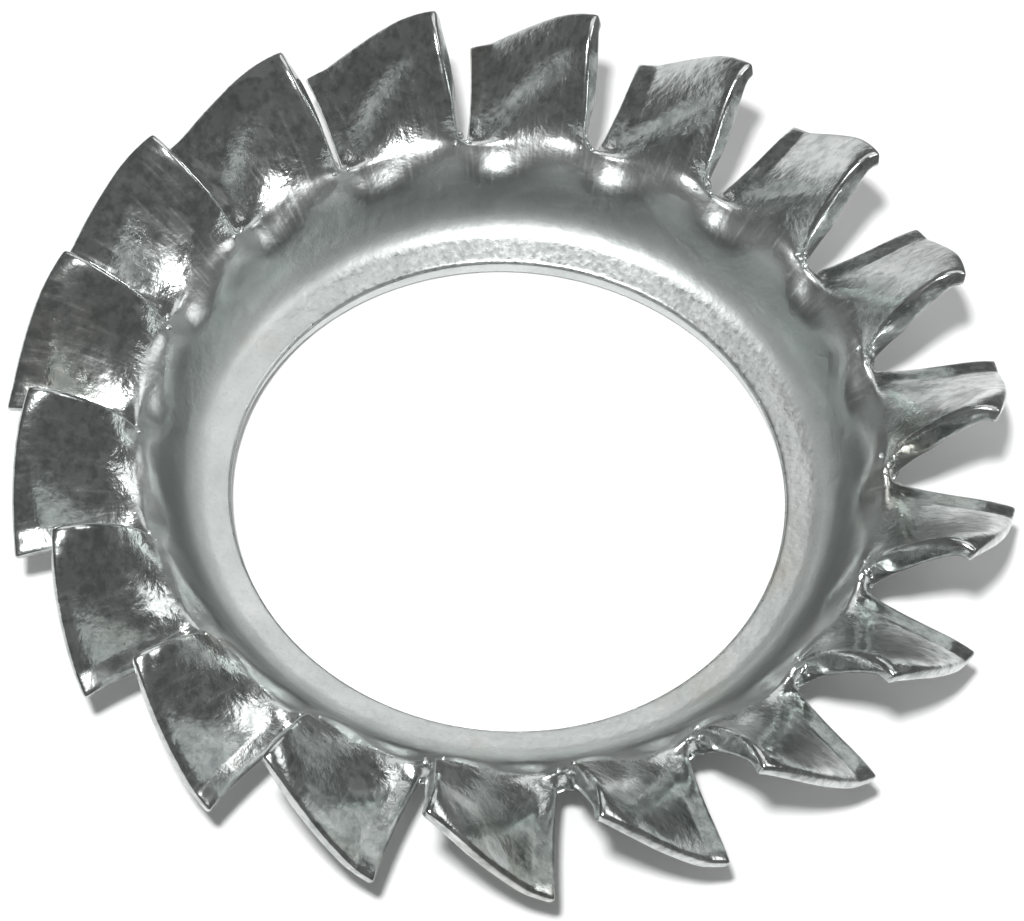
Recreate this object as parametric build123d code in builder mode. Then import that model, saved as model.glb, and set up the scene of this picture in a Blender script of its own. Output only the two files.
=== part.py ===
"""Countersunk external serrated lock washer for an 8 mm screw, pressed from one piece of spring steel.

The washer stands on the lower edge of its bore. The dish opens upwards and carries a ring of
blade teeth, each hollowed and twisted about its own radial line. Looking down, the clockwise edge
of a blade is raised and its other edge is lowered, so that the two bite into the screw's head and
into the work.
"""

from build123d import *
import os
from math import cos, radians, sin, sqrt, tan

# Sheet and overall sizes, in millimetres.
SHEET = 0.4
BORE_RADIUS = 4.2
OUTER_RADIUS = 7.65
TOOTH_COUNT = 18

# Dish, by its upper surface: a shallow lip round the bore, a steep wall, and the rim above it.
LIP_SLOPE = 20
LIP_RADIUS = 4.82
WALL_SLOPE = 60
RIM_RADIUS = 5.65
RIM_SLOPE = 16
RIM_END_RADIUS = 5.95
BEND_RADIUS = 0.5
PUNCHED_MARGIN = 0.3

# Blades: the gap between neighbours measured along the strip, the twist about the radial line,
# the hollow of the upper face, how far the outer end bows past its corners, and how far that end
# is turned out of square.
ROOT_RADIUS = 5.75
ROOT_GAP = 0.14
TIP_GAP = 0.06
TIP_TWIST = 45
ROOT_HOLLOW = 0.01
TIP_HOLLOW = 0.22
TIP_CROWN = 0.14
TIP_SKEW = 12
BLADE_SLOPE = 7
ROOT_SINK = 0.01
BLADE_SHARES = (0, 1 / 3, 2 / 3, 1)


def rise(run, slope):
    """Height gained over a run at a slope in degrees."""
    return run * tan(radians(slope))


BORE_HEIGHT = SHEET / cos(radians(LIP_SLOPE))
LIP_HEIGHT = BORE_HEIGHT + rise(LIP_RADIUS - BORE_RADIUS, LIP_SLOPE)
RIM_HEIGHT = LIP_HEIGHT + rise(RIM_RADIUS - LIP_RADIUS, WALL_SLOPE)
RIM_END_HEIGHT = RIM_HEIGHT + rise(RIM_END_RADIUS - RIM_RADIUS, RIM_SLOPE)
ROOT_HEIGHT = RIM_HEIGHT + rise(ROOT_RADIUS - RIM_RADIUS, RIM_SLOPE) - ROOT_SINK

# The lowered corner of a blade lies on the outer circle, which sets how far out its tip stands.
PITCH = radians(360 / TOOTH_COUNT)
TIP_HALF_WIDTH = (PITCH * OUTER_RADIUS - TIP_GAP) / 2
TIP_REACH = TIP_HALF_WIDTH * cos(radians(TIP_TWIST))
CORNER_RADIUS = sqrt(OUTER_RADIUS**2 - TIP_REACH**2) - rise(TIP_REACH, TIP_SKEW)
TIP_RADIUS = CORNER_RADIUS + TIP_CROWN
TIP_HEIGHT = ROOT_HEIGHT + rise(TIP_RADIUS - ROOT_RADIUS, BLADE_SLOPE)
CROWN_ARC_RADIUS = (TIP_HALF_WIDTH**2 + TIP_CROWN**2) / (2 * TIP_CROWN)


def between(root_value, tip_value, share):
    """Value at a share of the way from a blade's root to its tip."""
    return root_value + (tip_value - root_value) * share


def blade_half_width(share):
    """Half the width of the strip, at a share of the blade's length."""
    radius = between(ROOT_RADIUS, TIP_RADIUS, share)
    return (PITCH * radius - between(ROOT_GAP, TIP_GAP, share)) / 2


def blade_plane(share):
    """Plane across a blade at a share of its length: X runs up along the strip, Y out of its upper face."""
    skew = radians(TIP_SKEW * share)
    twist = radians(TIP_TWIST * share)
    return Plane(
        origin=(between(ROOT_RADIUS, TIP_RADIUS, share), 0, between(ROOT_HEIGHT, TIP_HEIGHT, share)),
        x_dir=(-sin(skew) * cos(twist), -cos(skew) * cos(twist), sin(twist)),
        z_dir=(-cos(skew), sin(skew), 0),
    )


tip = blade_plane(BLADE_SHARES[-1])

with BuildPart() as blade:
    for share in BLADE_SHARES:
        with BuildSketch(blade_plane(share)):
            with BuildLine():
                side = blade_half_width(share)
                hollow = between(ROOT_HOLLOW, TIP_HOLLOW, share)
                ThreePointArc((-side, 0), (0, -hollow), (side, 0))
                offset(amount=SHEET, side=Side.RIGHT)
            make_face()
    loft()
    with BuildSketch(Plane(origin=tip.origin, x_dir=-tip.z_dir, z_dir=tip.y_dir)):
        with Locations((-CROWN_ARC_RADIUS, 0)):
            Circle(CROWN_ARC_RADIUS)
    extrude(amount=TIP_RADIUS - ROOT_RADIUS, both=True, mode=Mode.INTERSECT)

with BuildPart() as toothed_lock_washer:
    with BuildSketch(Plane.XZ):
        with BuildLine():
            FilletPolyline(
                (BORE_RADIUS - PUNCHED_MARGIN, BORE_HEIGHT - rise(PUNCHED_MARGIN, LIP_SLOPE)),
                (LIP_RADIUS, LIP_HEIGHT),
                (RIM_RADIUS, RIM_HEIGHT),
                (RIM_END_RADIUS, RIM_END_HEIGHT),
                radius=BEND_RADIUS,
            )
            offset(amount=SHEET, side=Side.RIGHT)
        make_face()
    revolve(axis=Axis.Z)
    Hole(radius=BORE_RADIUS)
    with PolarLocations(0, TOOTH_COUNT):
        add(blade.part)

os.makedirs("parts", exist_ok=True)
toothed_lock_washer.part.label = "toothed_lock_washer"
export_step(toothed_lock_washer.part, "parts/toothed_lock_washer.step")
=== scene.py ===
"""Looks of a countersunk serrated lock washer: one pressed ring of zinc-plated spring steel.

One sector of the ring is modelled in millimetres and copied round, and the whole is then scaled to
metres. The bore's axis is the Z axis, the washer stands on z = 0, and one blade points along +X.
"""

import logging
import math
import random
from dataclasses import dataclass, field
from enum import Enum

import bmesh
import bpy
from mathutils import Euler, Matrix, Vector


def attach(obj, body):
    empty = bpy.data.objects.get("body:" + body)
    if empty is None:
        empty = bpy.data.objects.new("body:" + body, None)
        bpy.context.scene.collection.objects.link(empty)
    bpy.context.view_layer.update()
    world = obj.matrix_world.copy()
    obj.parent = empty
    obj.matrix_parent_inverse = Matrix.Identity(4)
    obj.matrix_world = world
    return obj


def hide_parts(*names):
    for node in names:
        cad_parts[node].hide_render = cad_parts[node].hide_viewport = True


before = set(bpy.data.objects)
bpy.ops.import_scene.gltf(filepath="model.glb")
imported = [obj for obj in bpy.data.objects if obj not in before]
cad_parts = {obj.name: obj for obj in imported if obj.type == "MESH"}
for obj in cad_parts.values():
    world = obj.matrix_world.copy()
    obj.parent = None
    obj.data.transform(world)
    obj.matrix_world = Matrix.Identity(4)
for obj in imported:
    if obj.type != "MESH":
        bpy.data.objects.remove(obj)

MM = 0.001
LOG = logging.getLogger("washer")
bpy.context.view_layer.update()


# ---------------------------------------------------------------- modelling helpers


def deselect_all() -> None:
    """Leave object mode with nothing selected."""
    if bpy.context.object and bpy.context.object.mode != "OBJECT":
        bpy.ops.object.mode_set(mode="OBJECT")
    bpy.ops.object.select_all(action="DESELECT")


def make_active(obj: bpy.types.Object) -> None:
    """Select one object alone and make it active.

    Args:
        obj: The object.
    """
    deselect_all()
    obj.select_set(True)
    bpy.context.view_layer.objects.active = obj


def select_points(obj: bpy.types.Object, points: list[int]) -> None:
    """Select some vertices alone, in edit mode.

    Args:
        obj: The object, in edit mode.
        points: Indices of the vertices.
    """
    mesh = bmesh.from_edit_mesh(obj.data)
    mesh.verts.ensure_lookup_table()
    for vert in mesh.verts:
        vert.select = False
    for point in points:
        mesh.verts[point].select = True
    mesh.select_flush_mode()
    bmesh.update_edit_mesh(obj.data)


def apply_modifier(obj: bpy.types.Object, kind: str, **settings: object) -> None:
    """Add a modifier, set it up and apply it.

    Args:
        obj: The object that is shaped.
        kind: Blender's modifier type.
        **settings: Values of the modifier's own settings.
    """
    modifier = obj.modifiers.new(kind.lower(), kind)
    for name, value in settings.items():
        setattr(modifier, name, value)
    make_active(obj)
    bpy.ops.object.modifier_apply(modifier=modifier.name)


def join(pieces: list[bpy.types.Object]) -> bpy.types.Object:
    """Join some objects into the first of them.

    Args:
        pieces: The objects.

    Returns:
        The joined object.
    """
    deselect_all()
    for piece in pieces:
        piece.select_set(True)
    bpy.context.view_layer.objects.active = pieces[0]
    bpy.ops.object.join()
    return bpy.context.object


def copy_moved(model: bpy.types.Object, move: Matrix) -> bpy.types.Object:
    """Copy an object with its mesh, and put the copy's place into its mesh.

    Args:
        model: The object that is copied.
        move: Where the copy goes.

    Returns:
        The copy.
    """
    copy = model.copy()
    copy.data = model.data.copy()
    bpy.context.collection.objects.link(copy)
    copy.data.transform(move)
    return copy


# ---------------------------------------------------------------- the washer's shape


# Upper face of the lip and the wall, from the bore's edge outwards: radius and height in millimetres.
LIP_AND_WALL = (
    (4.2, 0.4257), (4.26, 0.4395), (4.54, 0.504), (4.60, 0.519), (4.65, 0.535), (4.70, 0.556),
    (4.74, 0.578), (4.78, 0.607), (4.82, 0.644), (4.87, 0.702), (4.94, 0.798), (5.02, 0.918),
    (5.10, 1.041),
)

# Upper face of the rolled rim: radius, height and the ripple's height in millimetres.
RIM = (
    (5.18, 1.166, 0.0), (5.25, 1.275, 0.02), (5.32, 1.377, 0.06), (5.39, 1.464, 0.1),
    (5.46, 1.535, 0.13), (5.53, 1.597, 0.145), (5.60, 1.653, 0.14), (5.67, 1.705, 0.11),
)

# Where a blade's rows lie, as shares of its length.
BLADE_ROWS = (0.05, 0.14, 0.25, 0.4, 0.55, 0.7, 0.85, 1.0)

# Section across a blade's end, from its raised edge to its lowered one: place along the strip as
# a share of half the width, and height of the upper face in millimetres.
BLADE_SECTION = (
    (-1.0, -0.01), (-0.9, 0.0), (-0.8, 0.0), (-0.64, -0.012), (-0.48, -0.026), (-0.3, -0.042),
    (-0.1, -0.058), (0.1, -0.072), (0.3, -0.084), (0.5, -0.094), (0.64, -0.1), (0.7, -0.1),
    (0.74, -0.092), (0.8, -0.07), (1.0, 0.01),
)


@dataclass
class SheetRow:
    """One line of points across a sector of the sheet, from the clockwise side to the other.

    Attributes:
        radius: Distance from the bore's axis, in millimetres.
        height: Height of the upper face at the row's middle, in millimetres.
        wave: Height of the ripple that runs round the ring, in millimetres.
        form: How far the row has taken the section of a blade's end, from 0 to 1.
        twist: Turn about the radial line, in degrees, clockwise edge up.
        skew: Turn about the vertical through the row's middle, in degrees.
        width: Length along the strip, in millimetres, or 0 where the ring is whole.
        curl: How far the raised edge bends down, in millimetres.
    """

    radius: float
    height: float
    wave: float = 0.0
    form: float = 0.0
    twist: float = 0.0
    skew: float = 0.0
    width: float = 0.0
    curl: float = 0.0


@dataclass
class Blade:
    """One blade of the crown. Lengths are in millimetres and angles in degrees.

    Attributes:
        root_radius: Radius at which the slits between the blades end.
        tip_radius: Radius at the middle of the blade's end.
        strip_radius: Radius that sets how wide the strip is at the blade's end.
        root_height: Height of the upper face at the root.
        tip_height: Height of the upper face at the end, before it droops.
        rise_power: How early the blade rises; 1 is a straight line.
        droop: How far the end droops.
        droop_start: Share of the length at which the droop starts.
        root_gap: Gap to the next blade at the root, along the strip.
        tip_gap: Gap to the next blade at the end.
        twist: Twist about the radial line that the blade tends to.
        twist_lag: How much of the twist is still missing at the root.
        twist_reach: Share of the length over which the lag fades.
        skew: How far the end is turned out of square.
        root_form: How much of the end's section the root has.
        form_reach: Share of the length at which the section is full.
        curl: How far the raised edge bends down at the end.
        curl_start: Share of the length at which that bend starts.
        curl_side: Share of half the width beyond which the raised edge bends.
    """

    root_radius: float = 5.74
    tip_radius: float = 7.54
    strip_radius: float = 7.65
    root_height: float = 1.75
    tip_height: float = 2.33
    rise_power: float = 1.7
    droop: float = 0.06
    droop_start: float = 0.75
    root_gap: float = 0.08
    tip_gap: float = 0.06
    twist: float = 45
    twist_lag: float = 28
    twist_reach: float = 0.36
    skew: float = 12
    root_form: float = 0.3
    form_reach: float = 0.6
    curl: float = 0.2
    curl_start: float = 0.6
    curl_side: float = 0.3

    def row(self, share: float, pitch: float) -> SheetRow:
        """Row of points across the blade.

        Args:
            share: Place of the row as a share of the blade's length.
            pitch: Angle between neighbouring blades, in radians.

        Returns:
            The row.
        """
        risen = 1 - (1 - share) ** self.rise_power
        drooped = max(0.0, share - self.droop_start) / (1 - self.droop_start)
        curled = max(0.0, share - self.curl_start) / (1 - self.curl_start)
        radius = self.root_radius + (self.strip_radius - self.root_radius) * share
        gap = self.root_gap + (self.tip_gap - self.root_gap) * share
        height = self.root_height + (self.tip_height - self.root_height) * risen
        return SheetRow(
            radius=self.root_radius + (self.tip_radius - self.root_radius) * share,
            height=height - self.droop * drooped**2,
            form=self.root_form + (1 - self.root_form) * min(1.0, share / self.form_reach),
            twist=self.twist - self.twist_lag * math.exp(-share / self.twist_reach),
            skew=self.skew * share,
            width=pitch * radius - gap,
            curl=self.curl * curled**2,
        )

    def curl_at(self, place: float) -> float:
        """Share of the curl that a point of a row takes.

        Args:
            place: Place along the row, from -1 at the raised edge to 1.

        Returns:
            The share, from 0 to 1.
        """
        return (max(0.0, -place - self.curl_side) / (1 - self.curl_side)) ** 2


@dataclass
class ToothedRing:
    """The pressed ring: a dish with a punched bore and a crown of twisted blades.

    Attributes:
        teeth: Number of blades.
        sheet: Thickness, in millimetres.
        blade: Sizes of a blade.
        edge_break: Width of the rounding on cut edges, in millimetres.
        cut_angle: Angle above which an edge counts as cut, in degrees.
        thinning: Share of the thickness left at the pressed end of a blade.
        thinning_start: Radius at which the blades start to thin, in millimetres.
        crest: Place of the ripple's crest in a sector, from -1 to 1.
        valley: Place of its valley.
        row_reach: How far a point may lie from its row when it is looked for, in millimetres.
        spin_weld: Distance below which the points of a spun sector are one, in millimetres.
        seam_weld: Distance below which the points of neighbouring sectors are one.
    """

    teeth: int = 18
    sheet: float = 0.4
    blade: Blade = field(default_factory=Blade)
    edge_break: float = 0.07
    cut_angle: float = 50
    thinning: float = 0.55
    thinning_start: float = 6.0
    crest: float = -0.65
    valley: float = 0.55
    row_reach: float = 0.004
    spin_weld: float = 1e-5
    seam_weld: float = 0.002

    @property
    def pitch(self) -> float:
        """Angle of one sector, in radians."""
        return 2 * math.pi / self.teeth

    def rows(self) -> list[SheetRow]:
        """Rows from the bore's edge out to the blade's end.

        Returns:
            The rows, in order.
        """
        rows = [SheetRow(radius, height) for radius, height in LIP_AND_WALL]
        rows += [SheetRow(radius, height, wave) for radius, height, wave in RIM]
        return rows + [self.blade.row(share, self.pitch) for share in BLADE_ROWS]

    def sector(self) -> bpy.types.Object:
        """Model one sector of the sheet's upper face, with its blade.

        One point is extruded into the section, the section is spun over one pitch, and the rows are
        then shaped one by one.

        Returns:
            The sector's object, its blade along +X.
        """
        rows = self.rows()
        deselect_all()
        bpy.ops.mesh.primitive_plane_add(size=0.1)
        obj = bpy.context.object
        obj.name = "washer_sector"
        bpy.ops.object.mode_set(mode="EDIT")
        bpy.ops.mesh.select_all(action="SELECT")
        bpy.ops.mesh.merge(type="CENTER")
        start = Vector((math.cos(-self.pitch / 2), math.sin(-self.pitch / 2), 0))
        bpy.ops.transform.translate(value=start * rows[0].radius + Vector((0, 0, rows[0].height)))
        for inner, outer in zip(rows, rows[1:]):
            step = start * (outer.radius - inner.radius) + Vector((0, 0, outer.height - inner.height))
            bpy.ops.mesh.extrude_region_move(TRANSFORM_OT_translate={"value": step})
        bpy.ops.mesh.select_all(action="SELECT")
        bpy.ops.mesh.spin(steps=len(BLADE_SECTION) - 1, angle=-self.pitch, center=(0, 0, 0), axis=(0, 0, 1))
        bpy.ops.mesh.select_all(action="SELECT")
        bpy.ops.mesh.remove_doubles(threshold=self.spin_weld)
        for row, points in zip(rows, self.find_grid(obj, rows)):
            self.shape_row(obj, row, points)
        bpy.ops.object.mode_set(mode="OBJECT")
        return obj

    def find_grid(self, obj: bpy.types.Object, rows: list[SheetRow]) -> list[list[int]]:
        """Sort the sector's points into rows, each from one side to the other.

        Args:
            obj: The sector, in edit mode.
            rows: The rows it was spun from.

        Returns:
            For each row, the indices of its points.
        """
        mesh = bmesh.from_edit_mesh(obj.data)
        mesh.verts.index_update()
        grid = []
        for row in rows:
            points = [v for v in mesh.verts
                      if abs(math.hypot(v.co.x, v.co.y) - row.radius) < self.row_reach
                      and abs(v.co.z - row.height) < self.row_reach]
            points.sort(key=lambda v: math.atan2(v.co.y, v.co.x))
            grid.append([v.index for v in points])
        return grid

    def shape_row(self, obj: bpy.types.Object, row: SheetRow, points: list[int]) -> None:
        """Ripple, form, skew and twist one row.

        Args:
            obj: The sector, in edit mode.
            row: What the row becomes.
            points: Indices of its points, from one side to the other.
        """
        even = 2 / (len(points) - 1)
        for place, (point, (share, depth)) in enumerate(zip(points, BLADE_SECTION)):
            before = (even * place - 1) * self.pitch / 2
            after = share * self.pitch / 2
            lift = row.wave * self.ripple(share) + row.form * depth - row.curl * self.blade.curl_at(share)
            step = Vector((row.radius * (math.cos(after) - math.cos(before)),
                           row.radius * (math.sin(after) - math.sin(before)), lift))
            select_points(obj, [point])
            bpy.ops.transform.translate(value=step)
        if not row.width:
            return
        select_points(obj, points)
        centre = (row.radius, 0, row.height)
        chord = row.radius * math.sin(self.pitch / 2)
        bpy.ops.transform.resize(value=(1, row.width / 2 / chord, 1), center_override=centre)
        bpy.ops.transform.rotate(value=math.radians(row.twist), orient_axis="X", center_override=centre)
        bpy.ops.transform.rotate(value=math.radians(row.skew), orient_axis="Z", center_override=centre)

    def ripple(self, share: float) -> float:
        """Height of the ring's ripple over one sector: slow between crest and valley, quick at the slit.

        Args:
            share: Place in the sector, from -1 to 1.

        Returns:
            The height, from -1 to 1.
        """
        if self.crest <= share <= self.valley:
            return -math.cos(math.pi * (self.valley - share) / (self.valley - self.crest))
        fall = (self.crest - share) if share < self.crest else (self.crest - share + 2)
        return math.cos(math.pi * fall / (2 - self.valley + self.crest))

    def upper_face(self) -> bpy.types.Object:
        """Copy the sector round the ring and weld the copies.

        Returns:
            The sheet's upper face, its normals up.
        """
        sector = self.sector()
        copies = [copy_moved(sector, Matrix.Rotation(self.pitch * index, 4, "Z"))
                  for index in range(1, self.teeth)]
        ring = join([sector, *copies])
        ring.name = "pressed_washer"
        ring.data.name = "pressed_washer"
        make_active(ring)
        bpy.ops.object.mode_set(mode="EDIT")
        bpy.ops.mesh.select_all(action="SELECT")
        bpy.ops.mesh.remove_doubles(threshold=self.seam_weld)
        bpy.ops.mesh.normals_make_consistent(inside=False)
        bpy.ops.object.mode_set(mode="OBJECT")
        if sum(polygon.normal.z for polygon in ring.data.polygons) < 0:
            ring.data.flip_normals()
        return ring

    def thicken(self, ring: bpy.types.Object) -> None:
        """Give the sheet its thickness, less at the blades' ends, and round its cut edges.

        Args:
            ring: The upper face.
        """
        gauge = ring.vertex_groups.new(name="gauge")
        for vert in ring.data.vertices:
            reach = math.hypot(vert.co.x, vert.co.y) - self.thinning_start
            reach /= self.blade.tip_radius - self.thinning_start
            gauge.add([vert.index], 1 - min(1.0, max(0.0, reach)), "REPLACE")
        apply_modifier(ring, "SOLIDIFY", thickness=self.sheet, offset=-1, use_even_offset=False,
                       vertex_group="gauge", thickness_vertex_group=self.thinning)
        apply_modifier(ring, "BEVEL", width=self.edge_break, segments=3, limit_method="ANGLE",
                       angle_limit=math.radians(self.cut_angle), use_clamp_overlap=False)
        apply_modifier(ring, "SUBSURF", levels=1, render_levels=1)

    def build(self) -> bpy.types.Object:
        """Make the washer and stand it on z = 0.

        Returns:
            The finished washer, in metres.
        """
        ring = self.upper_face()
        self.thicken(ring)
        ring = join([ring, TornBurrs(slits=self.teeth).build(ring)])
        foot = min(vert.co.z for vert in ring.data.vertices)
        ring.data.transform(Matrix.Scale(MM, 4) @ Matrix.Translation((0, 0, -foot)))
        make_active(ring)
        bpy.ops.object.shade_smooth()
        LOG.info("washer: %d faces", len(ring.data.polygons))
        return ring


@dataclass(frozen=True)
class Lump:
    """One torn lump at a slit, in millimetres.

    Attributes:
        radius: Its distance from the bore's axis.
        along: Its place along the ring, from the slit.
        height: Its height before it is seated on the ring.
        size: Its own radius.
    """

    radius: float
    along: float
    height: float
    size: float


@dataclass
class TornBurrs:
    """Small rounded tears left where each slit between two blades ends.

    Attributes:
        slits: Number of slits.
        lumps: The lumps at each slit.
        uneven: How uneven a lump is, as a share of its radius.
        stretch: Its size along X, Y and Z before it is turned, as shares of its radius.
        spread: How far a lump strays from its place, in millimetres.
        sink: How deep a lump's middle lies under the ring's face, as a share of its radius.
        smallest: Least size of a copy, as a share of its lump's.
        largest: Greatest size of a copy.
        seed: Start of the random placing.
    """

    slits: int = 18
    lumps: tuple[Lump, ...] = (
        Lump(5.70, -0.13, 1.74, 0.075),
        Lump(5.74, 0.04, 1.72, 0.095),
        Lump(5.82, -0.08, 1.84, 0.06),
        Lump(5.66, 0.16, 1.67, 0.06),
        Lump(5.80, 0.12, 1.62, 0.05),
    )
    uneven: float = 0.06
    stretch: tuple[float, float, float] = (1.25, 0.9, 0.7)
    spread: float = 0.04
    sink: float = 0.25
    smallest: float = 0.75
    largest: float = 1.25
    seed: int = 7

    def model(self) -> bpy.types.Object:
        """Model one lump, 1 mm in radius before it is stretched.

        Returns:
            The lump.
        """
        deselect_all()
        bpy.ops.mesh.primitive_ico_sphere_add(subdivisions=2, radius=1.0)
        model = bpy.context.object
        model.name = "slit_burrs"
        bpy.ops.object.mode_set(mode="EDIT")
        bpy.ops.mesh.select_all(action="SELECT")
        bpy.ops.transform.vertex_random(offset=self.uneven, seed=self.seed)
        bpy.ops.mesh.vertices_smooth(factor=0.5, repeat=2)
        bpy.ops.transform.resize(value=self.stretch)
        bpy.ops.object.mode_set(mode="OBJECT")
        return model

    def build(self, ring: bpy.types.Object) -> bpy.types.Object:
        """Copy the lump round the ring, each copy turned and sized a little differently.

        Args:
            ring: The pressed ring, in millimetres, on whose nearest face each lump is seated.

        Returns:
            One object with all the lumps.
        """
        bpy.context.view_layer.update()
        model = self.model()
        dice = random.Random(self.seed)
        pieces = []
        for slit in range(self.slits):
            for lump in self.lumps:
                angle = (slit + 0.5) * 2 * math.pi / self.slits + lump.along / lump.radius
                place = Vector((lump.radius * math.cos(angle), lump.radius * math.sin(angle), lump.height))
                place += Vector([dice.uniform(-self.spread, self.spread) for _ in range(3)])
                _, spot, outward, _ = ring.closest_point_on_mesh(place)
                seat = Matrix.Translation(spot - outward * lump.size * self.sink)
                turn = Euler([dice.uniform(0, math.pi) for _ in range(3)]).to_matrix().to_4x4()
                scale = Matrix.Scale(lump.size * dice.uniform(self.smallest, self.largest), 4)
                pieces.append(copy_moved(model, seat @ turn @ scale))
        bpy.data.objects.remove(model)
        return join(pieces)


# ---------------------------------------------------------------- nodes


class Maths(Enum):
    """Sums that a maths node does."""

    ADD = "ADD"
    SUBTRACT = "SUBTRACT"
    MULTIPLY = "MULTIPLY"
    MAXIMUM = "MAXIMUM"
    ABSOLUTE = "ABSOLUTE"
    ARCTAN2 = "ARCTAN2"


def linear(code: str) -> tuple[float, float, float, float]:
    """Linear colour of an sRGB hex code.

    Args:
        code: The code, such as "#dcdfde".

    Returns:
        Red, green, blue and an alpha of 1.
    """
    parts = [int(code[i:i + 2], 16) / 255 for i in (1, 3, 5)]
    return (*[p / 12.92 if p <= 0.04045 else ((p + 0.055) / 1.055) ** 2.4 for p in parts], 1.0)


def add_node(tree: bpy.types.NodeTree, kind: str, inputs: dict | None = None,
             **settings: object) -> bpy.types.Node:
    """Add a node.

    Args:
        tree: The node tree it goes into.
        kind: Blender's node type.
        inputs: For each input by name or number, a value or the socket that feeds it.
        **settings: Values of the node's own settings.

    Returns:
        The node.
    """
    node = tree.nodes.new(kind)
    for name, value in settings.items():
        setattr(node, name, value)
    for name, value in (inputs or {}).items():
        if isinstance(value, bpy.types.NodeSocket):
            tree.links.new(value, node.inputs[name])
        else:
            node.inputs[name].default_value = value
    return node


@dataclass(frozen=True)
class Clouds:
    """Cloudy pattern, and what it is turned into.

    Attributes:
        size: Rough width of its patches, in millimetres.
        low: Value of the pattern that becomes `least`.
        high: Value of the pattern that becomes `most`.
        most: What the strongest patches become.
        least: What lies between them.
        detail: How many finer layers the pattern has.
        rough: How strong those are.
    """

    size: float
    low: float = 0.0
    high: float = 1.0
    most: float = 1.0
    least: float = 0.0
    detail: float = 4.0
    rough: float = 0.55


@dataclass(frozen=True)
class Fade:
    """Change between two distances, in millimetres, most often distances from the bore's axis.

    Attributes:
        inner: Distance at which it starts.
        outer: Distance at which it is over.
        before: Value inside the inner distance.
        after: Value outside the outer one.
    """

    inner: float
    outer: float
    before: float = 0.0
    after: float = 1.0


@dataclass
class Nodes:
    """Short ways to add the nodes that the materials share.

    Attributes:
        tree: The node tree they go into.
    """

    tree: bpy.types.NodeTree

    def maths(self, operation: Maths, *values: object) -> bpy.types.NodeSocket:
        """Do a sum.

        Args:
            operation: The sum.
            *values: One or two values, each a number or a socket.

        Returns:
            The socket that gives the result.
        """
        return add_node(self.tree, "ShaderNodeMath", dict(enumerate(values)),
                        operation=operation.value).outputs[0]

    def remap(self, value: bpy.types.NodeSocket, low: float, high: float,
              start: float, end: float) -> bpy.types.NodeSocket:
        """Take a value from one range over to another, and hold it inside that.

        Args:
            value: The value.
            low: Where its range starts.
            high: Where its range ends.
            start: What `low` becomes.
            end: What `high` becomes.

        Returns:
            The socket that gives the result.
        """
        return add_node(self.tree, "ShaderNodeMapRange", {
            "Value": value, "From Min": low, "From Max": high, "To Min": start, "To Max": end,
        }).outputs[0]

    def noise(self, where: bpy.types.NodeSocket, clouds: Clouds) -> bpy.types.NodeSocket:
        """Cloudy pattern as it comes, from about 0 to 1.

        Args:
            where: Coordinates, in metres.
            clouds: The pattern.

        Returns:
            The socket that gives the pattern.
        """
        return add_node(self.tree, "ShaderNodeTexNoise", {
            "Vector": where, "Scale": 1 / (clouds.size * MM),
            "Detail": clouds.detail, "Roughness": clouds.rough,
        }).outputs[0]

    def clouds(self, where: bpy.types.NodeSocket, clouds: Clouds) -> bpy.types.NodeSocket:
        """Cloudy pattern, turned into what it stands for.

        Args:
            where: Coordinates, in metres.
            clouds: The pattern.

        Returns:
            The socket that gives the result.
        """
        return self.remap(self.noise(where, clouds), clouds.low, clouds.high, clouds.least, clouds.most)

    def fade(self, distance: bpy.types.NodeSocket, fade: Fade) -> bpy.types.NodeSocket:
        """Value that changes with a distance.

        Args:
            distance: The distance, in metres.
            fade: The change.

        Returns:
            The socket that gives the value.
        """
        return self.remap(distance, fade.inner * MM, fade.outer * MM, fade.before, fade.after)

    def both(self, first: bpy.types.NodeSocket, second: bpy.types.NodeSocket) -> bpy.types.NodeSocket:
        """Product of two values.

        Args:
            first: One value.
            second: The other.

        Returns:
            The socket that gives the product.
        """
        return self.maths(Maths.MULTIPLY, first, second)

    def mix(self, share: bpy.types.NodeSocket, under: object, over: object) -> bpy.types.NodeSocket:
        """Mix two numbers.

        Args:
            share: How much of `over` shows.
            under: A number or a socket.
            over: A number or a socket.

        Returns:
            The socket that gives the result.
        """
        return add_node(self.tree, "ShaderNodeMix", {0: share, 2: under, 3: over}).outputs[0]

    def blend(self, share: bpy.types.NodeSocket, under: object, over: object) -> bpy.types.NodeSocket:
        """Mix two colours.

        Args:
            share: How much of `over` shows.
            under: A hex code or a socket.
            over: A hex code or a socket.

        Returns:
            The socket that gives the colour.
        """
        under, over = (linear(colour) if isinstance(colour, str) else colour for colour in (under, over))
        inputs = {0: share, 6: under, 7: over}
        return add_node(self.tree, "ShaderNodeMix", inputs, data_type="RGBA").outputs[2]

    def bump(self, height: bpy.types.NodeSocket, depth: object,
             under: bpy.types.NodeSocket | None = None) -> bpy.types.NodeSocket:
        """Turn a pattern into relief.

        Args:
            height: The pattern.
            depth: Its depth in metres, a number or a socket.
            under: Normal of the relief it lies on.

        Returns:
            The socket that gives the normal.
        """
        inputs = {"Height": height, "Strength": 1.0, "Distance": depth}
        if under:
            inputs["Normal"] = under
        return add_node(self.tree, "ShaderNodeBump", inputs).outputs[0]


# ---------------------------------------------------------------- finish


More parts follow.
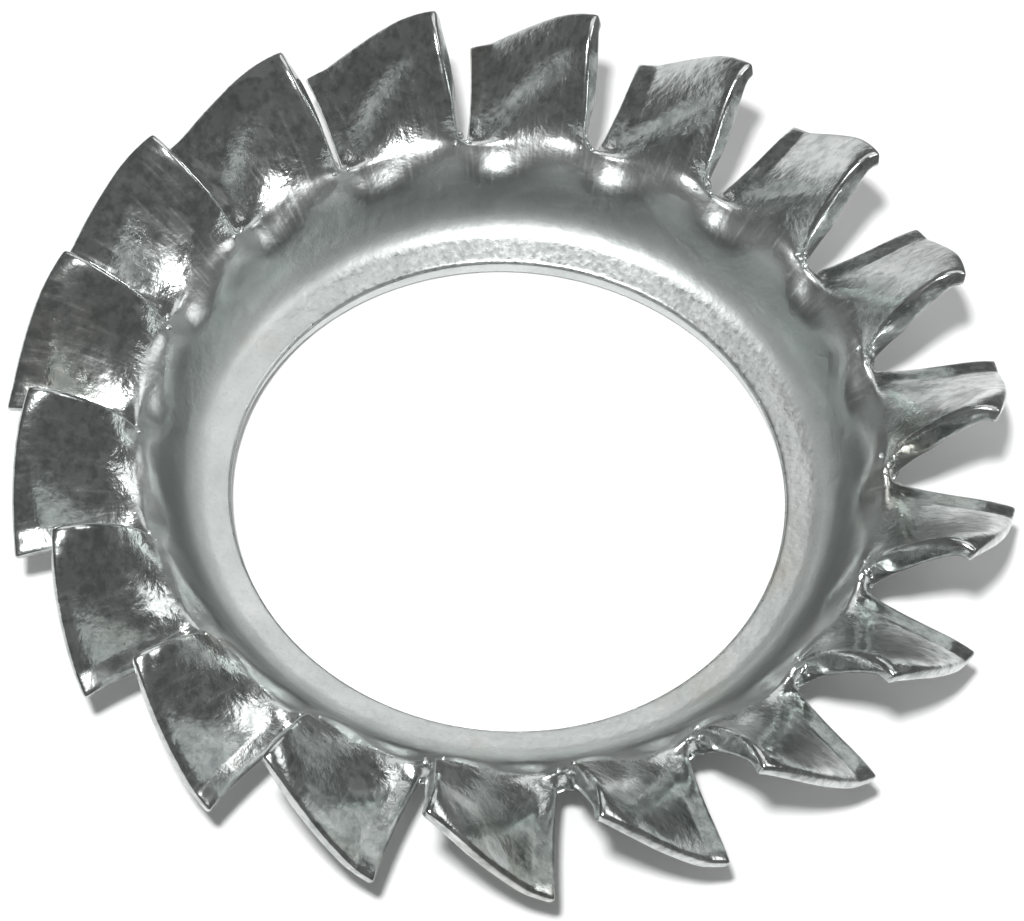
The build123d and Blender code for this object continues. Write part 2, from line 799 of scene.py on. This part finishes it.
@dataclass(frozen=True)
class ZincFinish:
    """Bright zinc plating over spring steel.

    The plating is mottled and slightly stained. The press rubs the lip matt, clouds on the blades keep a
    duller film, drawn streaks run out along the blades, the wall of the dish is darkened with painted
    shade, and the blades' sharp edges are lightened with a painted highlight. The relief is waves of the
    pressed sheet, dents that are deepest at the slits, and the grain of the plating.

    Attributes:
        name: Name of the material.
        bright: Colour of clean plating.
        dull: Colour of the greyer patches and of dull crystals.
        stain: Colour of the faint brown passivation in a few places.
        edge_highlight: Colour of the painted highlight on the blades' sharp edges.
        film_and_wall_shade: Colour of the duller film on the blades, and of the painted shade on the dish's
            wall.
        patches: Share of the greyer patches.
        stains: Share of the passivation.
        crystals: Share of dull crystals of zinc, a few hundredths of a millimetre across.
        wall: Share of the painted shade on the dish's wall, from the lip outwards.
        wall_end: Share of that left towards the rim.
        clouds: Share of the film on the blades.
        blades: Where the blades start.
        ridge: Sharpness at which the painted edge highlight starts and is complete.
        edge_highlight_share: Share of the painted edge highlight.
        polish: Roughness of the blades.
        dish: Roughness of the dish's wall and rim.
        dish_end: Where the dish's roughness gives way to the blades'.
        frost: Roughness of the lip.
        frost_end: Where the matt lip gives way.
        fold: Roughness along the fold between the lip and the wall.
        fold_radius: Radius of that fold, in millimetres.
        fold_edge: How the fold fades, by the distance from it.
        haze: What a fine pattern adds to the roughness of the blades.
        matt: What a finer one adds to the roughness of the lip.
        streaks: What drawn streaks add to the roughness outside the lip.
        streak_radius: Radius at which the streaks keep their width, in millimetres.
        streak_stretch: How much slower the streaks change on the way out.
        waves: Waves of the pressed sheet.
        dents: Dents in it.
        grain: Grain of the plating.
        wave_depth: Depth of the waves, in millimetres.
        dent_depth: Depth of the dents, in millimetres.
        torn_depth: Depth of the dents where the slits end, in millimetres.
        grain_depth: Depth of the grain, in millimetres.
        slits: Where the band of the slits' ends starts.
        slits_end: Where that band stops.
    """

    name: str = "zinc_plated_spring_steel"
    bright: str = "#dcdfde"
    dull: str = "#bcc2c0"
    stain: str = "#a8987f"
    edge_highlight: str = "#eceeed"
    film_and_wall_shade: str = "#909694"
    patches: Clouds = Clouds(0.9, 0.25, 0.75, 0.8)
    stains: Clouds = Clouds(2.6, 0.62, 0.74, 0.35, detail=3.0)
    crystals: Clouds = Clouds(0.045, 0.55, 0.7, 0.45, detail=2.0)
    wall: Fade = Fade(4.8, 5.1, 0.0, 0.75)
    wall_end: Fade = Fade(5.28, 5.46, 1.0, 0.0)
    clouds: Clouds = Clouds(0.2, 0.44, 0.62, 0.62, detail=5.0, rough=0.65)
    blades: Fade = Fade(5.7, 6.0)
    ridge: tuple[float, float] = (0.54, 0.6)
    edge_highlight_share: float = 0.8
    polish: float = 0.17
    dish: float = 0.32
    dish_end: Fade = Fade(5.55, 5.9, 1.0, 0.0)
    frost: float = 0.34
    frost_end: Fade = Fade(4.68, 4.96, 1.0, 0.0)
    fold: float = 0.56
    fold_radius: float = 4.79
    fold_edge: Fade = Fade(0.04, 0.2, 1.0, 0.0)
    haze: Clouds = Clouds(0.3, 0.2, 0.8, 0.07, -0.05, detail=5.0)
    matt: Clouds = Clouds(0.08, 0.3, 0.7, 0.1, -0.08, detail=3.0)
    streaks: Clouds = Clouds(0.07, 0.5, 0.7, 0.09, detail=3.0, rough=0.5)
    streak_radius: float = 6.5
    streak_stretch: float = 0.08
    waves: Clouds = Clouds(0.55, detail=2.0)
    dents: Clouds = Clouds(0.16, detail=3.0)
    grain: Clouds = Clouds(0.05, detail=2.0)
    wave_depth: float = 0.010
    dent_depth: float = 0.009
    torn_depth: float = 0.022
    grain_depth: float = 0.0012
    slits: Fade = Fade(5.66, 5.8)
    slits_end: Fade = Fade(5.85, 6.15, 1.0, 0.0)

    def material(self) -> bpy.types.Material:
        """Make the material.

        Returns:
            The material.
        """
        material = bpy.data.materials.new(self.name)
        material.use_nodes = True
        tree = material.node_tree
        nodes = Nodes(tree)
        place = add_node(tree, "ShaderNodeTexCoord").outputs["Object"]
        axes = add_node(tree, "ShaderNodeSeparateXYZ", {"Vector": place}).outputs
        flat = add_node(tree, "ShaderNodeCombineXYZ", {"X": axes["X"], "Y": axes["Y"]}).outputs[0]
        radius = add_node(tree, "ShaderNodeVectorMath", {0: flat}, operation="LENGTH").outputs["Value"]
        angle = nodes.maths(Maths.ARCTAN2, axes["Y"], axes["X"])
        shader = tree.nodes["Principled BSDF"]
        shader.inputs["Metallic"].default_value = 1.0
        tree.links.new(self.colour(nodes, place, radius), shader.inputs["Base Color"])
        tree.links.new(self.roughness(nodes, place, radius, angle), shader.inputs["Roughness"])
        tree.links.new(self.relief(nodes, place, radius), shader.inputs["Normal"])
        return material

    def colour(self, nodes: Nodes, place: bpy.types.NodeSocket,
               radius: bpy.types.NodeSocket) -> bpy.types.NodeSocket:
        """Colour of the plating, with painted shade on the dish's wall and a painted highlight on the
        blades' edges: each layer lies over the ones before it.

        Args:
            nodes: The material's nodes.
            place: Object coordinates.
            radius: Distance from the bore's axis, in metres.

        Returns:
            The socket that gives the colour.
        """
        blades = nodes.fade(radius, self.blades)
        colour = nodes.blend(nodes.clouds(place, self.patches), self.bright, self.dull)
        colour = nodes.blend(nodes.clouds(place, self.stains), colour, self.stain)
        colour = nodes.blend(nodes.clouds(place, self.crystals), colour, self.dull)
        # Painted shade: the wall of the dish is darkened towards the duller film's colour.
        wall = nodes.both(nodes.fade(radius, self.wall), nodes.fade(radius, self.wall_end))
        colour = nodes.blend(wall, colour, self.film_and_wall_shade)
        colour = nodes.blend(nodes.both(nodes.clouds(place, self.clouds), blades), colour, self.film_and_wall_shade)
        # Painted highlight: the blades' sharp edges are lightened by their pointiness.
        pointed = add_node(nodes.tree, "ShaderNodeNewGeometry").outputs["Pointiness"]
        edge_highlight_share = nodes.remap(pointed, *self.ridge, 0.0, self.edge_highlight_share)
        return nodes.blend(nodes.both(edge_highlight_share, blades), colour, self.edge_highlight)

    def roughness(self, nodes: Nodes, place: bpy.types.NodeSocket, radius: bpy.types.NodeSocket,
                  angle: bpy.types.NodeSocket) -> bpy.types.NodeSocket:
        """Roughness: polished blades with drawn streaks, a duller dish and a matt lip.

        Args:
            nodes: The material's nodes.
            place: Object coordinates.
            radius: Distance from the bore's axis, in metres.
            angle: Angle round that axis, in radians.

        Returns:
            The socket that gives the roughness.
        """
        haze = nodes.maths(Maths.ADD, nodes.clouds(place, self.haze), self.polish)
        # Streaks run outwards: their pattern is taken over the way round the ring and, much
        # stretched, the way out.
        around = nodes.maths(Maths.MULTIPLY, angle, self.streak_radius * MM)
        out = nodes.maths(Maths.MULTIPLY, radius, self.streak_stretch)
        strip = add_node(nodes.tree, "ShaderNodeCombineXYZ", {"X": around, "Y": out}).outputs[0]
        haze = nodes.maths(Maths.ADD, haze, nodes.clouds(strip, self.streaks))
        pressed = nodes.maths(Maths.MULTIPLY, nodes.fade(radius, self.dish_end), self.dish - self.polish)
        haze = nodes.maths(Maths.ADD, haze, pressed)
        matt = nodes.maths(Maths.ADD, nodes.clouds(place, self.matt), self.frost)
        rough = nodes.mix(nodes.fade(radius, self.frost_end), haze, matt)
        away = nodes.maths(Maths.SUBTRACT, radius, self.fold_radius * MM)
        away = nodes.maths(Maths.ABSOLUTE, away)
        return nodes.mix(nodes.fade(away, self.fold_edge), rough, self.fold)

    def relief(self, nodes: Nodes, place: bpy.types.NodeSocket,
               radius: bpy.types.NodeSocket) -> bpy.types.NodeSocket:
        """Relief: waves, dents on them, and grain on those.

        Args:
            nodes: The material's nodes.
            place: Object coordinates.
            radius: Distance from the bore's axis, in metres.

        Returns:
            The socket that gives the normal.
        """
        waves = nodes.bump(nodes.noise(place, self.waves), self.wave_depth * MM)
        torn = nodes.both(nodes.fade(radius, self.slits), nodes.fade(radius, self.slits_end))
        depth = nodes.remap(torn, 0.0, 1.0, self.dent_depth * MM, self.torn_depth * MM)
        dents = nodes.bump(nodes.noise(place, self.dents), depth, waves)
        return nodes.bump(nodes.noise(place, self.grain), self.grain_depth * MM, dents)


@dataclass(frozen=True)
class TableFinish:
    """Plain white table.

    The camera and the light meet one plain white. Reflections see it darker inside the bore and under the
    washer, which is painted shade, and darker far away, which is a painted dark reflection. On the left it
    stays light further out, a painted light reflection.

    Attributes:
        name: Name of the material.
        white: How white the table is, from 0 to 1.
        glow: Strength of a small lift that keeps the background white.
        bore: Level that reflections see, from inside the bore outwards: painted shade in the bore.
        far: Share of that level, towards the distance: a painted dark reflection.
        left: Share of it on the left, towards the distance: a painted light reflection.
        left_side: Where the left is, by the distance along X.
        washer: Share of it from the washer's inner edge outwards: painted shade under the washer.
        washer_end: Share of it from the washer's outer edge outwards.
    """

    name: str = "white_table"
    white: float = 0.88
    glow: float = 0.03
    bore: Fade = Fade(3.7, 3.95, 0.08, white)
    far: Fade = Fade(8.6, 11, 1.0, 0.12)
    left: Fade = Fade(22, 40, 0.85, 0.0)
    left_side: Fade = Fade(1, 5, 1.0, 0.0)
    washer: Fade = Fade(4.3, 4.7, 1.0, 0.38)
    washer_end: Fade = Fade(7.1, 7.6, 0.38, 1.0)

    def material(self) -> bpy.types.Material:
        """Make the material.

        Returns:
            The material.
        """
        material = bpy.data.materials.new(self.name)
        material.use_nodes = True
        tree = material.node_tree
        tree.nodes.clear()
        nodes = Nodes(tree)
        path = add_node(tree, "ShaderNodeLightPath").outputs
        level = nodes.mix(path["Is Glossy Ray"], self.white, self.reflected(nodes))
        diffuse = add_node(tree, "ShaderNodeBsdfDiffuse", {"Color": level}).outputs[0]
        emission = {"Color": (1, 1, 1, 1), "Strength": self.glow}
        glow = add_node(tree, "ShaderNodeEmission", emission).outputs[0]
        seen = nodes.maths(Maths.MAXIMUM, path["Is Camera Ray"], path["Is Glossy Ray"])
        lift = add_node(tree, "ShaderNodeMixShader", {0: seen, 2: glow}).outputs[0]
        surface = add_node(tree, "ShaderNodeAddShader", {0: diffuse, 1: lift}).outputs[0]
        add_node(tree, "ShaderNodeOutputMaterial", {"Surface": surface})
        return material

    def reflected(self, nodes: Nodes) -> bpy.types.NodeSocket:
        """Level of the table in reflections, with painted shade and painted reflections in it.

        Args:
            nodes: The material's nodes.

        Returns:
            The socket that gives the level.
        """
        where = add_node(nodes.tree, "ShaderNodeTexCoord").outputs["Object"]
        length = add_node(nodes.tree, "ShaderNodeVectorMath", {0: where}, operation="LENGTH")
        middle = length.outputs["Value"]
        across = add_node(nodes.tree, "ShaderNodeSeparateXYZ", {0: where}).outputs["X"]
        # Painted reflections: lighter on the left, darker far away.
        left = nodes.both(nodes.fade(across, self.left_side), nodes.fade(middle, self.left))
        far = nodes.maths(Maths.MAXIMUM, nodes.fade(middle, self.far), left)
        # Painted shade under the washer.
        under = nodes.maths(Maths.MAXIMUM, nodes.fade(middle, self.washer),
                            nodes.fade(middle, self.washer_end))
        # Painted shade inside the bore.
        return nodes.both(nodes.both(nodes.fade(middle, self.bore), far), under)


# ---------------------------------------------------------------- studio


@dataclass(frozen=True)
class Lamp:
    """One round area lamp that points at the washer.

    Attributes:
        name: Its name.
        tilt: Angle from the vertical, in degrees.
        azimuth: Angle round the vertical, in degrees; 0 is the viewer's side.
        size: Its width, in metres.
        power: Its power, in watts.
        distance: Its distance from the origin, in metres.
    """

    name: str
    tilt: float
    azimuth: float
    size: float
    power: float
    distance: float = 0.30

    def hang(self) -> None:
        """Hang the lamp."""
        data = bpy.data.lights.new(self.name, "AREA")
        data.shape = "DISK"
        data.size = self.size
        data.energy = self.power
        lamp = bpy.data.objects.new(self.name, data)
        bpy.context.collection.objects.link(lamp)
        azimuth, tilt = math.radians(self.azimuth), math.radians(self.tilt)
        way = Vector((math.sin(tilt) * math.sin(azimuth), -math.sin(tilt) * math.cos(azimuth),
                      math.cos(tilt)))
        lamp.location = way * self.distance
        lamp.rotation_mode = "QUATERNION"
        lamp.rotation_quaternion = (-way).to_track_quat("-Z", "Y")


@dataclass(frozen=True)
class View:
    """The camera. Lengths are in millimetres and angles in degrees, if nothing else is said.

    Attributes:
        azimuth: Angle round the vertical; 0 looks along +Y.
        elevation: Angle above the table.
        roll: Turn about the line of sight.
        distance: Distance to the target.
        target: Height of the target on the bore's axis.
        span: Width of what the picture holds at the target.
        sensor: Width of the sensor.
        picture: Width of the picture, in pixels.
        shift: How far the picture is shifted along X and Y, in pixels.
        near: Nearest distance seen, in metres.
        far: Furthest distance seen, in metres.
    """

    azimuth: float = 8.56
    elevation: float = 57.4
    roll: float = 4.26
    distance: float = 111.4
    target: float = 0.4257
    span: float = 15.576
    sensor: float = 36
    picture: int = 1024
    shift: tuple[float, float] = (3.5, 29.5)
    near: float = 0.01
    far: float = 2.0

    def place(self) -> None:
        """Place the camera and make it the scene's."""
        data = bpy.data.cameras.new("camera")
        camera = bpy.data.objects.new("camera", data)
        bpy.context.collection.objects.link(camera)
        azimuth, elevation = math.radians(self.azimuth), math.radians(self.elevation)
        back = Vector((math.sin(azimuth) * math.cos(elevation), -math.cos(azimuth) * math.cos(elevation),
                       math.sin(elevation)))
        roll = Matrix.Rotation(math.radians(self.roll), 3, "Z").to_quaternion()
        camera.location = Vector((0, 0, self.target)) * MM + back * (self.distance * MM)
        camera.rotation_mode = "QUATERNION"
        camera.rotation_quaternion = (-back).to_track_quat("-Z", "Y") @ roll
        data.sensor_width = self.sensor
        data.lens = self.sensor * self.distance / self.span
        data.shift_x, data.shift_y = (pixels / self.picture for pixels in self.shift)
        data.clip_start, data.clip_end = self.near, self.far
        bpy.context.scene.camera = camera


@dataclass
class Studio:
    """White table, soft surroundings, lamps and camera.

    Attributes:
        table_size: Width of the table, in metres.
        table_height: Height of the table's face, in metres, a little under the washer.
        surroundings: Strength of the white light from all round.
        lamps: The lamps.
        view: The camera.
    """

    table_size: float = 2.0
    table_height: float = -0.00002
    surroundings: float = 0.14
    lamps: tuple[Lamp, ...] = (
        Lamp("key", tilt=22, azimuth=-5, size=0.026, power=0.9),
        Lamp("softbox", tilt=40, azimuth=180, size=0.34, power=0.26),
        Lamp("side", tilt=48, azimuth=110, size=0.15, power=0.11),
    )
    view: View = View()

    def build(self) -> None:
        """Set up the table, the surroundings, the lamps and the camera."""
        deselect_all()
        bpy.ops.mesh.primitive_plane_add(size=self.table_size, location=(0, 0, self.table_height))
        floor = bpy.context.object
        floor.name = "table"
        floor.data.materials.append(TableFinish().material())
        self.surround()
        for lamp in self.lamps:
            lamp.hang()
        self.view.place()
        bpy.context.scene.view_settings.view_transform = "Standard"

    def surround(self) -> None:
        """Light the washer evenly from all round.

        The strength is the same in every direction, but it is fed by the direction: such a world is
        sampled like a lamp, and one with a bare value is not, which leaves the blades a little lighter.
        """
        world = bpy.data.worlds.new("studio")
        bpy.context.scene.world = world
        world.use_nodes = True
        tree = world.node_tree
        way = add_node(tree, "ShaderNodeTexCoord").outputs["Generated"]
        across = add_node(tree, "ShaderNodeSeparateXYZ", {0: way}).outputs["Y"]
        level = add_node(tree, "ShaderNodeMapRange", {
            "Value": across, "To Min": self.surroundings, "To Max": self.surroundings,
        }, interpolation_type="SMOOTHSTEP").outputs[0]
        background = tree.nodes["Background"]
        background.inputs["Color"].default_value = (1, 1, 1, 1)
        tree.links.new(level, background.inputs["Strength"])


def main() -> None:
    """Build the washer and the studio."""
    logging.basicConfig(level=logging.INFO, format="%(message)s")
    washer = ToothedRing().build()
    washer.data.materials.clear()
    washer.data.materials.append(ZincFinish().material())
    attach(washer, "root")
    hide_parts("toothed_lock_washer")
    Studio().build()


if __name__ == "__main__":
    main()
